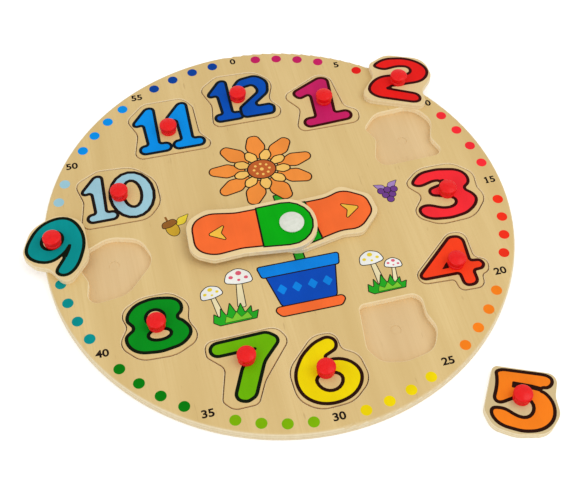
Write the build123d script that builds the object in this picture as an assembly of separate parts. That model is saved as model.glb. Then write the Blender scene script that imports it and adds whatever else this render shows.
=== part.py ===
"""Round wooden clock puzzle, in millimetres.

Two plywood discs are glued into one board. The front disc is cut through for twelve number inserts, each
with a plastic knob pinned on from below, and two plywood hands turn on a button near the board's middle.
The origin is the middle of the board's underside, +Z points out of the dial and +Y at twelve o'clock.
Numbers two and nine lie on the board, and number five on the surface beside it, as when a child plays.
"""
import math
import os

from build123d import *

# Board
BOARD_DIAMETER = 300.0
BACK_THICKNESS = 2.5
FACE_THICKNESS = 4.5
RIM_ROUNDING = 2.0
BACK_EDGE_BEVEL = 0.5
SEAM_BEVEL = 0.2

# Number inserts and their pockets
SQUARES_ACROSS = 300  # squares across the board on the paper that the outlines below are drawn on
NUMBER_RING_INSET = 42  # squares from the rim to the ring that the inserts sit on
NUMBER_THICKNESS = 4.5
NUMBER_EDGE_ROUNDING = 0.5
POCKET_CLEARANCE = 0.6
POCKET_EDGE_BEVEL = 0.4

# Knobs, measured from the insert's top, and the pins that hold them
KNOB_HEIGHT = 7.8
KNOB_HEAD_DIAMETER = 11.5
KNOB_HEAD_UNDERSIDE = 4.1  # height of the head's widest part above the insert
KNOB_DOME_RISE = 1.4
KNOB_RIM_ROUNDING = 1.3
KNOB_WAIST_DIAMETER = 8.2
KNOB_WAIST_HEIGHT = 2.6
KNOB_FOOT_DIAMETER = 10.4
KNOB_FOOT_DEPTH = 1.3
KNOB_EDGE_ROUNDING = 0.5
STEM_DIAMETER = 4.8
STEM_END_GAP = 0.2
PIN_HEAD_DIAMETER = 6.0
PIN_HEAD_DEPTH = 0.8
PIN_RECESS = 0.2
PIN_DIAMETER = 2.5
PIN_GRIP = 3.0  # how far the pin reaches into the knob above the insert's top
SLIP_CLEARANCE = 0.05
SINK_CLEARANCE = 0.15
DIMPLE_DIAMETER = 6.6
DIMPLE_DEPTH = 0.4

# Hands and their pivot
PIVOT_X = 5.0
PIVOT_Y = -10.0
HAND_THICKNESS = 3.8
HAND_GAP = 0.3
HAND_EDGE_ROUNDING = 0.5
HUB_BEHIND = 16.0  # how far a hand reaches behind the pivot
HUB_HALF_WIDTH = 20.5
HUB_ROUNDNESS = 0.9  # the hub's corner radius as a share of its half width
MINUTE_REACH = 66.0
MINUTE_NECK_INSET = 2.8  # how much narrower than the hub the hand is on each side there
MINUTE_PALM_INSET = 0.8
MINUTE_TIP_INSET = 7.5
HOUR_REACH = 57.0
HOUR_NECK_INSET = 3.5
HOUR_SHOULDER_INSET = 0.5
HOUR_TIP_INSET = 13.5
MINUTE_REST_ANGLE = 177.0
HOUR_REST_ANGLE = 7.0
BUTTON_DIAMETER = 15.6
BUTTON_HEIGHT = 2.2
BUTTON_EDGE = 0.6
PIVOT_DIAMETER = 5.0
CLIP_DIAMETER = 12.0
CLIP_THICKNESS = 1.4
CLIP_RECESS = 0.2

# Values that follow from those above
BOARD_RADIUS = BOARD_DIAMETER / 2
BOARD_TOP = BACK_THICKNESS + FACE_THICKNESS
DRAWING_SQUARE = BOARD_DIAMETER / SQUARES_ACROSS
NUMBER_RING_RADIUS = BOARD_RADIUS - NUMBER_RING_INSET * DRAWING_SQUARE
STEM_RADIUS = STEM_DIAMETER / 2
PIN_RADIUS = PIN_DIAMETER / 2
PIN_SINK_DEPTH = PIN_RECESS + PIN_HEAD_DEPTH
PIVOT_RADIUS = PIVOT_DIAMETER / 2
CLIP_RADIUS = CLIP_DIAMETER / 2
HOUR_HAND_Z = BOARD_TOP + HAND_GAP
MINUTE_HAND_Z = HOUR_HAND_Z + HAND_THICKNESS + HAND_GAP
BUTTON_Z = MINUTE_HAND_Z + HAND_THICKNESS + HAND_GAP

# Each number: its bearing on the dial in degrees clockwise from twelve, the knob's place and the outline,
# clockwise from the upper left as (x, y, corner radius), in squares from its place on the ring
NUMBERS = {
    1: (30, (0, -0.5), [
        (-27, 9.5, 5), (3, 25, 8), (9.5, 18.5, 6), (12, -8.5, 8),
        (20.5, -14, 5), (19.3, -24.3, 6), (-25, -24.3, 5), (-17.5, -4.5, 6)]),
    2: (63.5, (1, 0.5), [
        (-21.7, 13.3, 4), (-11.5, 24.5, 12), (16, 26, 13), (24, 10.5, 10),
        (18.5, -4.5, 9), (24, -19, 5), (-24, -20.5, 7), (-16.5, 2.5, 8)]),
    3: (92.5, (3.5, 1), [
        (-21.5, 13.5, 5), (-9, 24, 16), (14, 24, 14), (25.5, 13, 9), (24, 1, 8),
        (27, -8, 9), (15, -21.5, 16), (-9, -22.5, 16), (-24, -12, 7), (-12.5, 2, 5)]),
    4: (120.5, (5.5, -3.5), [
        (-21, -6, 6), (8, 19.5, 8), (18.5, 18.5, 6), (18, -1.5, 5), (26, -5, 5), (24, -12.8, 5),
        (19, -14.8, 3), (17.5, -23.7, 5), (2.3, -23.2, 4), (1.3, -14.4, 3), (-19.3, -13.4, 5)]),
    5: (152, (-1.7, 2.2), [
        (-19.3, 21, 3.5), (19, 21.5, 6), (18, 6.5, 12), (21.5, -4.5, 10), (15, -18, 12),
        (-3, -21.4, 20), (-17, -18.5, 10), (-22.8, -8.5, 8)]),
    6: (180, (-0.2, -4.6), [
        (-21, 1, 14), (-2, 20, 12), (11.5, 19.5, 6), (12.5, 7.5, 6), (21.5, 2, 10),
        (24, -15.5, 12), (10.5, -27, 16), (-9.5, -27.8, 16), (-20.2, -19, 14)]),
    7: (203, (-1, 5.5), [
        (-22.8, 21.5, 5), (21, 22.5, 8), (26, 12.5, 6), (6.5, -10.5, 25), (-0.5, -24.5, 5),
        (-15, -24.7, 7), (-20, -18.5, 4), (-14, 2.5, 6), (-23.2, 12, 4)]),
    8: (237, (0.5, -0.5), [
        (-20, 13, 8), (-6, 20.5, 18), (12, 20.5, 12), (22, 11, 9), (19, -1, 10),
        (25, -14.5, 8), (8, -22.7, 20), (-12.5, -21.8, 12), (-23.5, -9.5, 8), (-16.5, 2, 6)]),
    9: (262.5, (-1.2, 6.2), [
        (-20, 15.9, 10), (-1.5, 24.5, 16), (16.8, 19.2, 12), (23.2, 2.2, 12),
        (3.5, -18.9, 14), (-20.6, -21.5, 5.5), (-17.4, -5, 6), (-20.9, 4, 6)]),
    10: (293.5, (2.5, -0.5), [
        (-24.5, 14.5, 6), (-9, 22.5, 8), (14, 21, 16), (27, 7, 15),
        (27.5, -12, 14), (17.5, -23, 12), (-25, -22.5, 5), (-20.5, -1, 10)]),
    11: (328.5, (0.6, -1.8), [
        (-25.5, 13, 6), (-12.5, 25, 7), (15, 25, 8), (20.2, 16, 6), (20.2, -8, 8),
        (26.3, -17, 4), (24.8, -22.4, 4.5), (-25.5, -22.4, 5), (-20, -1, 10)]),
    12: (359, (-1.8, 1), [
        (-26, 14, 6), (-13, 23.5, 8), (14, 22.5, 14), (25, 11, 10), (18.5, -5, 8),
        (25.5, -15, 6), (22, -22, 6), (-23.5, -22, 5), (-20.5, -2, 10)]),
}

# Inserts that lie out of their pockets: bearing, squares from the rim out to the insert's middle,
# turn in degrees counter-clockwise, and the height of the surface below
LOOSE_NUMBERS = {
    2: (48.5, -6.9, -24.0, BOARD_TOP),
    5: (146.0, 39.8, -23.5, 0.0),
    9: (273.3, -12.4, 43.0, BOARD_TOP),
}


def on_dial(bearing, radius, z=0.0):
    """A point on the dial, by its bearing clockwise from twelve o'clock."""
    angle = math.radians(bearing)
    return Vector(radius * math.sin(angle), radius * math.cos(angle), z)


def pocket_place(number):
    """Where an insert's drawing lies when the insert is in its pocket."""
    bearing = NUMBERS[number][0]
    return Location(on_dial(bearing, NUMBER_RING_RADIUS, BACK_THICKNESS))


def rest_place(number):
    """Where an insert lies now: in its pocket, or loose as the table above says."""
    if number not in LOOSE_NUMBERS:
        return pocket_place(number)
    bearing, beyond_rim, turn, height = LOOSE_NUMBERS[number]
    radius = BOARD_RADIUS + beyond_rim * DRAWING_SQUARE
    return Location(on_dial(bearing, radius, height), (0, 0, turn))


def rounded_face(corners, scale=1.0):
    """A flat face inside straight sides whose corners are rounded, each by its own radius."""
    points = [(x * scale, y * scale) for x, y, _ in corners]
    radii = [radius * scale for _, _, radius in corners]
    return make_face(FilletPolyline(*points, radius=radii, close=True))


def number_outline(number):
    return rounded_face(NUMBERS[number][2], DRAWING_SQUARE)


def knob_spot(number):
    """The knob's axis on its insert, from the insert's place."""
    x, y = NUMBERS[number][1]
    return Pos(x * DRAWING_SQUARE, y * DRAWING_SQUARE)


def dome_line(radius, rim_z, top_z):
    """The arc of a round cap, from its rim to its top on the axis, drawn as (radius, height)."""
    rise = top_z - rim_z
    sphere = (radius ** 2 + rise ** 2) / (2 * rise)
    half_way = top_z - sphere + math.sqrt(sphere ** 2 - (radius / 2) ** 2)
    return ThreePointArc((radius, rim_z), (radius / 2, half_way), (0, top_z))


def turned(profile):
    """A solid of revolution about Z from a face drawn as (radius, height)."""
    return revolve(Plane.XZ * profile, Axis.Z)


def upper_edges(plate):
    """The edges round a plate's top."""
    return plate.edges().group_by(Axis.Z)[-1]


def lower_edges(plate):
    """The edges round a plate's underside."""
    return plate.edges().group_by(Axis.Z)[0]


def make_back_board():
    board = Pos(Z=BACK_THICKNESS / 2) * Cylinder(BOARD_RADIUS, BACK_THICKNESS)
    board = chamfer(lower_edges(board), BACK_EDGE_BEVEL)
    board = chamfer(upper_edges(board), SEAM_BEVEL)
    dimple = Cylinder(DIMPLE_DIAMETER / 2, 2 * DIMPLE_DEPTH)
    board -= [pocket_place(number) * knob_spot(number) * dimple for number in NUMBERS]
    pivot = Pos(PIVOT_X, PIVOT_Y)
    board -= pivot * Cylinder(PIVOT_RADIUS + SLIP_CLEARANCE, 4 * BACK_THICKNESS)
    clip_seat_depth = CLIP_RECESS + CLIP_THICKNESS
    board -= pivot * Pos(Z=clip_seat_depth / 2) * Cylinder(CLIP_RADIUS + SINK_CLEARANCE, clip_seat_depth)
    return board


def make_face_board():
    board = Pos(Z=BACK_THICKNESS + FACE_THICKNESS / 2) * Cylinder(BOARD_RADIUS, FACE_THICKNESS)
    board = fillet(upper_edges(board), RIM_ROUNDING)
    board = chamfer(lower_edges(board), SEAM_BEVEL)
    board -= Pos(PIVOT_X, PIVOT_Y) * Cylinder(PIVOT_RADIUS + SLIP_CLEARANCE, 4 * BOARD_TOP)
    for number in NUMBERS:
        opening = offset(number_outline(number), POCKET_CLEARANCE)
        pocket = extrude(opening, FACE_THICKNESS)
        mouth = extrude(Pos(Z=FACE_THICKNESS - POCKET_EDGE_BEVEL) * opening, POCKET_EDGE_BEVEL, taper=-45)
        board -= pocket_place(number) * (pocket + mouth)
    return board


def make_number(number):
    """A plywood insert with the knob's hole and the pin head's sinking."""
    plate = extrude(number_outline(number), NUMBER_THICKNESS)
    plate = fillet(upper_edges(plate), NUMBER_EDGE_ROUNDING)
    hole = Cylinder(STEM_RADIUS + SLIP_CLEARANCE, 4 * NUMBER_THICKNESS)
    sink = Cylinder(PIN_HEAD_DIAMETER / 2 + SINK_CLEARANCE, 2 * PIN_SINK_DEPTH)
    return plate - knob_spot(number) * (hole + sink)


def make_knob():
    """A knob with a domed head, a waist and a foot, whose hollow stem goes down into the insert."""
    head = KNOB_HEAD_DIAMETER / 2
    waist = KNOB_WAIST_DIAMETER / 2
    foot = KNOB_FOOT_DIAMETER / 2
    stem_end = PIN_SINK_DEPTH + STEM_END_GAP - NUMBER_THICKNESS
    bore = PIN_RADIUS + SLIP_CLEARANCE
    bore_end = PIN_GRIP + STEM_END_GAP
    crown = KNOB_HEIGHT - KNOB_DOME_RISE
    side = Polyline((0, KNOB_HEIGHT), (0, bore_end), (bore, bore_end), (bore, stem_end),
                    (STEM_RADIUS, stem_end), (STEM_RADIUS, 0), (foot, 0), (foot, KNOB_FOOT_DEPTH),
                    (waist, KNOB_WAIST_HEIGHT), (head, KNOB_HEAD_UNDERSIDE), (head, crown))
    profile = make_face(side + dome_line(head, crown, KNOB_HEIGHT))
    roundings = [
        (head, crown, KNOB_RIM_ROUNDING),
        (head, KNOB_HEAD_UNDERSIDE, KNOB_EDGE_ROUNDING),
        (waist, KNOB_WAIST_HEIGHT, KNOB_RIM_ROUNDING),
        (foot, KNOB_FOOT_DEPTH, KNOB_EDGE_ROUNDING),
    ]
    for x, z, radius in roundings:
        corner = profile.vertices().sort_by_distance((x, z, 0))[0]
        profile = fillet(corner, radius)
    return turned(profile)


def make_knob_pin():
    """A flat-headed pin, from the insert's underside up into the knob."""
    head = Pos(Z=PIN_RECESS + PIN_HEAD_DEPTH / 2) * Cylinder(PIN_HEAD_DIAMETER / 2, PIN_HEAD_DEPTH)
    shank_length = NUMBER_THICKNESS + PIN_GRIP - PIN_SINK_DEPTH
    shank = Pos(Z=PIN_SINK_DEPTH + shank_length / 2) * Cylinder(PIN_RADIUS, shank_length)
    return head + shank


def hand_plate(half_outline, rest_angle, z):
    """A hand along +X, mirrored from one half of its outline, bored for the pivot and turned to its rest."""
    far_half = [(x, -y, radius) for x, y, radius in reversed(half_outline)]
    plate = extrude(rounded_face(half_outline + far_half), HAND_THICKNESS)
    plate = fillet(upper_edges(plate), HAND_EDGE_ROUNDING)
    plate -= Cylinder(PIVOT_RADIUS + SLIP_CLEARANCE, 4 * HAND_THICKNESS)
    return Location((PIVOT_X, PIVOT_Y, z), (0, 0, rest_angle)) * plate


def make_minute_hand():
    """The longer, upper hand, with a broad rounded end."""
    neck = HUB_HALF_WIDTH - MINUTE_NECK_INSET
    palm = HUB_HALF_WIDTH - MINUTE_PALM_INSET
    tip = HUB_HALF_WIDTH - MINUTE_TIP_INSET
    half = [
        (-HUB_BEHIND, HUB_HALF_WIDTH, HUB_HALF_WIDTH * HUB_ROUNDNESS),
        (MINUTE_REACH * 0.5, neck, MINUTE_REACH * 0.35),
        (MINUTE_REACH * 0.79, palm, palm * 0.45),
        (MINUTE_REACH, tip, tip * 0.9),
    ]
    return hand_plate(half, MINUTE_REST_ANGLE, MINUTE_HAND_Z)


def make_hour_hand():
    """The shorter, lower hand, which tapers to its tip."""
    neck = HUB_HALF_WIDTH - HOUR_NECK_INSET
    shoulder = HUB_HALF_WIDTH - HOUR_SHOULDER_INSET
    tip = HUB_HALF_WIDTH - HOUR_TIP_INSET
    half = [
        (-HUB_BEHIND, HUB_HALF_WIDTH, HUB_HALF_WIDTH * HUB_ROUNDNESS),
        (HOUR_REACH * 0.52, neck, HOUR_REACH * 0.35),
        (HOUR_REACH * 0.72, shoulder, shoulder * 0.4),
        (HOUR_REACH, tip, tip * 0.9),
    ]
    return hand_plate(half, HOUR_REST_ANGLE, HOUR_HAND_Z)


def make_pivot_button():
    """The domed head over the hands, with the stem that goes through the board."""
    head = BUTTON_DIAMETER / 2
    stem_end = CLIP_RECESS - BUTTON_Z
    side = Polyline((0, BUTTON_HEIGHT), (0, stem_end), (PIVOT_RADIUS, stem_end), (PIVOT_RADIUS, 0),
                    (head, 0), (head, BUTTON_EDGE))
    profile = make_face(side + dome_line(head, BUTTON_EDGE, BUTTON_HEIGHT))
    return Pos(PIVOT_X, PIVOT_Y, BUTTON_Z) * turned(profile)


def make_pivot_clip():
    """The ring that grips the stem from behind, sunk in the back board."""
    ring = Cylinder(CLIP_RADIUS, CLIP_THICKNESS) - Cylinder(PIVOT_RADIUS + SLIP_CLEARANCE, 2 * CLIP_THICKNESS)
    return Pos(PIVOT_X, PIVOT_Y, CLIP_RECESS + CLIP_THICKNESS / 2) * ring


def build_all():
    parts = {
        "back_board": make_back_board(),
        "face_board": make_face_board(),
        "hour_hand": make_hour_hand(),
        "minute_hand": make_minute_hand(),
        "pivot_button": make_pivot_button(),
        "pivot_clip": make_pivot_clip(),
    }
    knob = make_knob()
    knob_pin = make_knob_pin()
    for number in NUMBERS:
        place = rest_place(number)
        spot = place * knob_spot(number)
        parts[f"number_{number}"] = place * make_number(number)
        parts[f"knob_{number}"] = spot * Pos(Z=NUMBER_THICKNESS) * knob
        parts[f"knob_pin_{number}"] = spot * knob_pin
    return parts


os.makedirs("parts", exist_ok=True)
for name, solid in build_all().items():
    export_step(solid, f"parts/{name}.step")
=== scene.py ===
# %% [markdown]
# # A wooden clock puzzle
# The puzzle is a round plywood board with twelve number-shaped inserts, red plastic knobs and two wooden
# hands. Its solids come from the CAD frame, so this lesson is about what the frame lacks: the wood, the
# plastic, the printed inks, the studio and the camera. Blender counts in metres, and the studio is laid
# out in them. The puzzle's own sizes are in millimetres, as a maker would write them, and MM turns them
# into metres.

# %% Load the frame
import math

import bpy
from mathutils import Matrix, Vector


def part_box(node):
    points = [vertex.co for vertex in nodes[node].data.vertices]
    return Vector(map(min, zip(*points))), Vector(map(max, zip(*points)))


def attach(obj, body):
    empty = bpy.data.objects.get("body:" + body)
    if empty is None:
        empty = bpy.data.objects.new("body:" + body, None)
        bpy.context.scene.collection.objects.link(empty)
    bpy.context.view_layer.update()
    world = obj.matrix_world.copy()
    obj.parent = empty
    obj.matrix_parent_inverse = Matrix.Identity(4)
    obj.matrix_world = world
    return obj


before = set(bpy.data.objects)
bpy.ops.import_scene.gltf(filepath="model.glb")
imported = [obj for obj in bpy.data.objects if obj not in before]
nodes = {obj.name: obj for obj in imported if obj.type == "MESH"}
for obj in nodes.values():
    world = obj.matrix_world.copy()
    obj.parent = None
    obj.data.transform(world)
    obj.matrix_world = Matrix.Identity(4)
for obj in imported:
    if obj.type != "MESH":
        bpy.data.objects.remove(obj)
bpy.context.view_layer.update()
MM = 0.001
board_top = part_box("face_board")[1].z
print(f"{len(nodes)} solids loaded, dial at {board_top / MM:.2f} mm")

# %% [markdown]
# ## Camera
# The photograph looks down on the dial from the front and a little from the left, with a longish lens. A
# camera that tracks the dial is quick to set, but it always holds the dial in the middle of the picture.
# So three angles turn this camera, and its place is given along its own axes from the middle of the dial.
# Each value can then be corrected on its own.

# %% Camera
CAMERA_TURN = math.radians(-15.823)
CAMERA_RISE = math.radians(54.908)
CAMERA_ROLL = math.radians(2.013)
CAMERA_FROM_DIAL = Vector((8.87, -16.4, 678.5)) * MM
CAMERA_LENS = 64.92

camera_back = Vector((
    math.sin(CAMERA_TURN) * math.cos(CAMERA_RISE),
    -math.cos(CAMERA_TURN) * math.cos(CAMERA_RISE),
    math.sin(CAMERA_RISE),
))
camera_right = Vector((math.cos(CAMERA_TURN), math.sin(CAMERA_TURN), 0))
camera_axes = Matrix((camera_right, camera_back.cross(camera_right), camera_back)).transposed()
camera_axes = camera_axes @ Matrix.Rotation(CAMERA_ROLL, 3, "Z")
camera_place = camera_axes @ CAMERA_FROM_DIAL + Vector((0, 0, board_top))

bpy.ops.object.select_all(action="DESELECT")
bpy.ops.object.camera_add()
camera = bpy.context.object
camera.data.lens = CAMERA_LENS
camera.data.sensor_fit = "HORIZONTAL"
camera.matrix_world = Matrix.Translation(camera_place) @ camera_axes.to_4x4()
bpy.context.scene.camera = camera
print("camera at", [round(v, 3) for v in camera_place])

# %% [markdown]
# ## Helpers for nodes
# A finish in Blender is a small graph of nodes. Placing them by hand is quick once and slow the twentieth
# time, so a few helpers add the ones that the finishes here share: a calculation, a range, a mix of two
# colours and a noise. Colours are written as on a colour chart, from 0 to 255, and become the linear
# values that a shader counts in.

# %% Colours and values
def srgb(red, green, blue):
    """A shader colour from the 0 to 255 values of a colour chart."""
    linear = []
    for value in (red, green, blue):
        share = value / 255
        linear.append(share / 12.92 if share <= 0.04045 else ((share + 0.055) / 1.055) ** 2.4)
    return (*linear, 1)


def reckon(tree, operation, *terms):
    """A Math node on terms that are plain numbers or the outputs of other nodes."""
    node = tree.nodes.new("ShaderNodeMath")
    node.operation = operation
    for socket, term in zip(node.inputs, terms):
        if isinstance(term, (int, float)):
            socket.default_value = term
        else:
            tree.links.new(term, socket)
    return node.outputs[0]


def spread(tree, value, low, high, to_low=0.0, to_high=1.0):
    """Carries a value from one range to another, and stops at its ends."""
    ranged = tree.nodes.new("ShaderNodeMapRange")
    for socket, number in zip(("From Min", "From Max", "To Min", "To Max"), (low, high, to_low, to_high)):
        ranged.inputs[socket].default_value = number
    tree.links.new(value, ranged.inputs["Value"])
    return ranged.outputs["Result"]


def blend_colours(tree, factor, first, second):
    """Mixes two colours, each a plain one or the output of another node."""
    mix = tree.nodes.new("ShaderNodeMix")
    mix.data_type = "RGBA"
    tree.links.new(factor, mix.inputs["Factor"])
    for socket, colour in (("A", first), ("B", second)):
        if isinstance(colour, tuple):
            mix.inputs[socket].default_value = colour
        else:
            tree.links.new(colour, mix.inputs[socket])
    return mix.outputs["Result"]


print("a chart's mid grey is", round(srgb(128, 128, 128)[0], 3), "to a shader")

# %% [markdown]
# The next helpers start a material and give it texture. A noise on stretched coordinates is fine across
# the fibres and long along them. All patterns read the piece's own coordinates, so that they stay on the
# piece when it moves.

# %% Finishes, noise and groups
RELIEF_DEPTH = 0.1


def new_finish(name, specular):
    """A new material with its node tree and its shader."""
    finish = bpy.data.materials.new(name)
    finish.use_nodes = True
    shader = finish.node_tree.nodes["Principled BSDF"]
    shader.inputs["Specular IOR Level"].default_value = specular
    return finish, finish.node_tree, shader


def own_place(tree):
    """The piece's own coordinates."""
    return tree.nodes.new("ShaderNodeTexCoord").outputs["Object"]


def stretched_noise(tree, vector, waves, detail):
    """Noise with so many waves per metre along each axis."""
    scaled = tree.nodes.new("ShaderNodeVectorMath")
    scaled.operation = "MULTIPLY"
    scaled.inputs[1].default_value = waves
    tree.links.new(vector, scaled.inputs[0])
    noise = tree.nodes.new("ShaderNodeTexNoise")
    noise.inputs["Scale"].default_value = 1.0
    noise.inputs["Detail"].default_value = detail
    tree.links.new(scaled.outputs["Vector"], noise.inputs["Vector"])
    return noise.outputs["Fac"]


def add_relief(tree, shader, height, strength):
    """Lets the light catch a pattern's heights."""
    bump = tree.nodes.new("ShaderNodeBump")
    bump.inputs["Strength"].default_value = strength
    bump.inputs["Distance"].default_value = RELIEF_DEPTH * MM
    tree.links.new(height, bump.inputs["Height"])
    tree.links.new(bump.outputs["Normal"], shader.inputs["Normal"])


def new_group(name, inputs, outputs):
    """An empty node group with named sockets, and the nodes at its two ends."""
    group = bpy.data.node_groups.new(name, "ShaderNodeTree")
    for socket, kind in inputs.items():
        group.interface.new_socket(socket, in_out="INPUT", socket_type="NodeSocket" + kind)
    for socket, kind in outputs.items():
        group.interface.new_socket(socket, in_out="OUTPUT", socket_type="NodeSocket" + kind)
    return group, group.nodes.new("NodeGroupInput"), group.nodes.new("NodeGroupOutput")


print("relief goes", RELIEF_DEPTH, "mm deep")

# %% [markdown]
# ## Studio floor
# A product photograph on white needs a floor that is white to the camera and still takes a soft shadow.
# More lamps would whiten it, but they would wash out the shadow and the wood too. So the floor is a pale
# matt surface with a little glow that only direct looks and reflections see. The Light Path node tells
# those rays apart.

# %% Floor
FLOOR_SIZE = 8
FLOOR_DROP = 0.1 * MM
FLOOR_GREY = (0.9, 0.9, 0.9, 1)
FLOOR_ROUGHNESS = 0.9
FLOOR_SPECULAR = 0.1
FLOOR_GLOW = 0.34
NO_LIGHT = (0, 0, 0, 1)
FULL_LIGHT = (1, 1, 1, 1)


def seen_directly(tree):
    """One for rays from the camera, from a reflection or through something clear, else zero."""
    path = tree.nodes.new("ShaderNodeLightPath")
    direct = reckon(tree, "MAXIMUM", path.outputs["Is Camera Ray"], path.outputs["Is Glossy Ray"])
    return reckon(tree, "MAXIMUM", direct, path.outputs["Is Transmission Ray"])


bpy.ops.mesh.primitive_plane_add(size=FLOOR_SIZE, location=(0, 0, -FLOOR_DROP))
floor = bpy.context.object
floor.name = "studio_floor"
floor_paint, floor_tree, floor_shader = new_finish("studio_floor", FLOOR_SPECULAR)
floor_shader.inputs["Base Color"].default_value = FLOOR_GREY
floor_shader.inputs["Roughness"].default_value = FLOOR_ROUGHNESS
floor_shader.inputs["Emission Strength"].default_value = FLOOR_GLOW
floor_glow = blend_colours(floor_tree, seen_directly(floor_tree), NO_LIGHT, FULL_LIGHT)
floor_tree.links.new(floor_glow, floor_shader.inputs["Emission Color"])
floor.data.materials.append(floor_paint)
print("floor of", FLOOR_SIZE, "m")

# %% [markdown]
# ## World and lamps
# The world is white to the camera as well, and a little dimmer as a light. Two large lamps do the rest: a
# key from the right and a fill from the left. Small lamps would give hard shadows, and the ones in the
# photograph are soft.

# %% World and lamps
AMBIENT = 0.74
LAMPS = {
    "key_lamp": {"place": (0.75, -0.35, 1.15), "width": 0.9, "watts": 4.7},
    "fill_lamp": {"place": (-0.9, -0.7, 0.9), "width": 1.0, "watts": 2.8},
}

world = bpy.data.worlds.new("studio")
world.use_nodes = True
bpy.context.scene.world = world
surround = world.node_tree.nodes["Background"]
surround.inputs["Color"].default_value = FULL_LIGHT
surround_level = spread(world.node_tree, seen_directly(world.node_tree), 0.0, 1.0, AMBIENT, 1.0)
world.node_tree.links.new(surround_level, surround.inputs["Strength"])

for lamp_name, setting in LAMPS.items():
    bpy.ops.object.light_add(type="AREA", location=setting["place"])
    lamp = bpy.context.object
    lamp.name = lamp_name
    lamp.data.size = setting["width"]
    lamp.data.energy = setting["watts"]
    to_dial = -lamp.location
    lamp.rotation_euler = to_dial.to_track_quat("-Z", "Y").to_euler()
bpy.context.scene.view_settings.view_transform = "Standard"
print("studio with", list(LAMPS))

# %% [markdown]
# ## Wood
# The board, the inserts and the hands are pale plywood under a thin clear coat. Its face has fine
# straight fibres, broader soft bands and a few dark flecks, and all of them run one way. A picture of
# wood would need every solid unwrapped, so the grain is made from noise. A node group makes it once, and
# each wood then has its own two colours.

# %% Grain group
FIBRES = (900, 22, 40)
BANDS = (60, 6, 20)
FLECKS = (520, 75, 75)
FLECK_BROWN = srgb(150, 112, 66)

grain_group, grain_in, grain_out = new_group(
    "wood_grain",
    {"Vector": "Vector", "Light": "Color", "Dark": "Color"},
    {"Color": "Color", "Height": "Float"},
)
grain_place = grain_in.outputs["Vector"]
grain_light = grain_in.outputs["Light"]
grain_dark = grain_in.outputs["Dark"]
fibre = stretched_noise(grain_group, grain_place, FIBRES, detail=4)
band = stretched_noise(grain_group, grain_place, BANDS, detail=3)
fleck = stretched_noise(grain_group, grain_place, FLECKS, detail=1)
banded = blend_colours(grain_group, spread(grain_group, band, 0.3, 0.7), grain_light, grain_dark)
streaked = blend_colours(grain_group, spread(grain_group, fibre, 0.42, 0.75, 0, 0.6), banded, grain_dark)
flecked = blend_colours(grain_group, spread(grain_group, fleck, 0.73, 0.83, 0, 0.3), streaked, FLECK_BROWN)
grain_group.links.new(flecked, grain_out.inputs["Color"])
grain_group.links.new(fibre, grain_out.inputs["Height"])
print("group", grain_group.name, "with", len(grain_group.nodes), "nodes")

# %% [markdown]
# The sawn edge is paler than the face and shows the plies as faint bands. A second material on the side
# faces would need them picked out on every solid. Instead a group tells face and edge apart by the
# direction that the surface looks in. Height above the table decides which ply a point is in, and a fine
# noise stands for the saw's marks down the side.

# %% Ply edge group
PLY_PITCH = 2.2
PLY_CONTRAST = 0.3
SAW_MARKS = (700, 700, 120)
FACE_FLATNESS = 0.95
EDGE_FLATNESS = 0.6

edge_group, edge_in, edge_out = new_group(
    "ply_edge",
    {"Vector": "Vector", "Normal": "Vector", "Face": "Color", "Edge Light": "Color", "Edge Dark": "Color"},
    {"Color": "Color"},
)
split_place = edge_group.nodes.new("ShaderNodeSeparateXYZ")
edge_group.links.new(edge_in.outputs["Vector"], split_place.inputs[0])
ply_phase = reckon(edge_group, "MULTIPLY", split_place.outputs["Z"], math.tau / (PLY_PITCH * MM))
ply_wave = reckon(edge_group, "SINE", ply_phase)
saw_marks = stretched_noise(edge_group, edge_in.outputs["Vector"], SAW_MARKS, detail=3)
ply_mark = reckon(edge_group, "MULTIPLY_ADD", ply_wave, PLY_CONTRAST, saw_marks)
edge_colour = blend_colours(edge_group, spread(edge_group, ply_mark, 0.1, 0.95),
                            edge_in.outputs["Edge Light"], edge_in.outputs["Edge Dark"])
split_normal = edge_group.nodes.new("ShaderNodeSeparateXYZ")
edge_group.links.new(edge_in.outputs["Normal"], split_normal.inputs[0])
flatness = reckon(edge_group, "ABSOLUTE", split_normal.outputs["Z"])
edge_mask = spread(edge_group, flatness, FACE_FLATNESS, EDGE_FLATNESS)
edge_group.links.new(blend_colours(edge_group, edge_mask, edge_in.outputs["Face"], edge_colour),
                     edge_out.inputs["Color"])
print("group", edge_group.name, "with plies of", PLY_PITCH, "mm")

# %% [markdown]
# Sixteen pieces are of plywood, and materials that were built one by one would drift apart. So one
# function makes every plywood from its two face tones, its two edge tones and the way that its fibres
# run. The loose pieces have pale edges. The walls of the pockets are paler still, as painted light, and
# the edges of a seated insert are darker and browner, as painted shade in the slot round it.

# %% Plywood
WOOD_SPECULAR = 0.2
WOOD_RELIEF = 0.12
SAWN_EDGE = (srgb(247, 231, 194), srgb(232, 210, 164))
RIM_EDGE = (srgb(240, 224, 188), srgb(226, 206, 164))
# Painted light: the pocket walls are paler than the rim, for the light that falls on them.
WALL_EDGE_PAINTED_LIGHT = (srgb(255, 241, 206), srgb(246, 226, 182))
# Painted shade: a seated insert's edges are darker, for the shade in the slot round it.
SEATED_EDGE_PAINTED_SHADE = (srgb(214, 178, 126), srgb(190, 150, 100))


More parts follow.
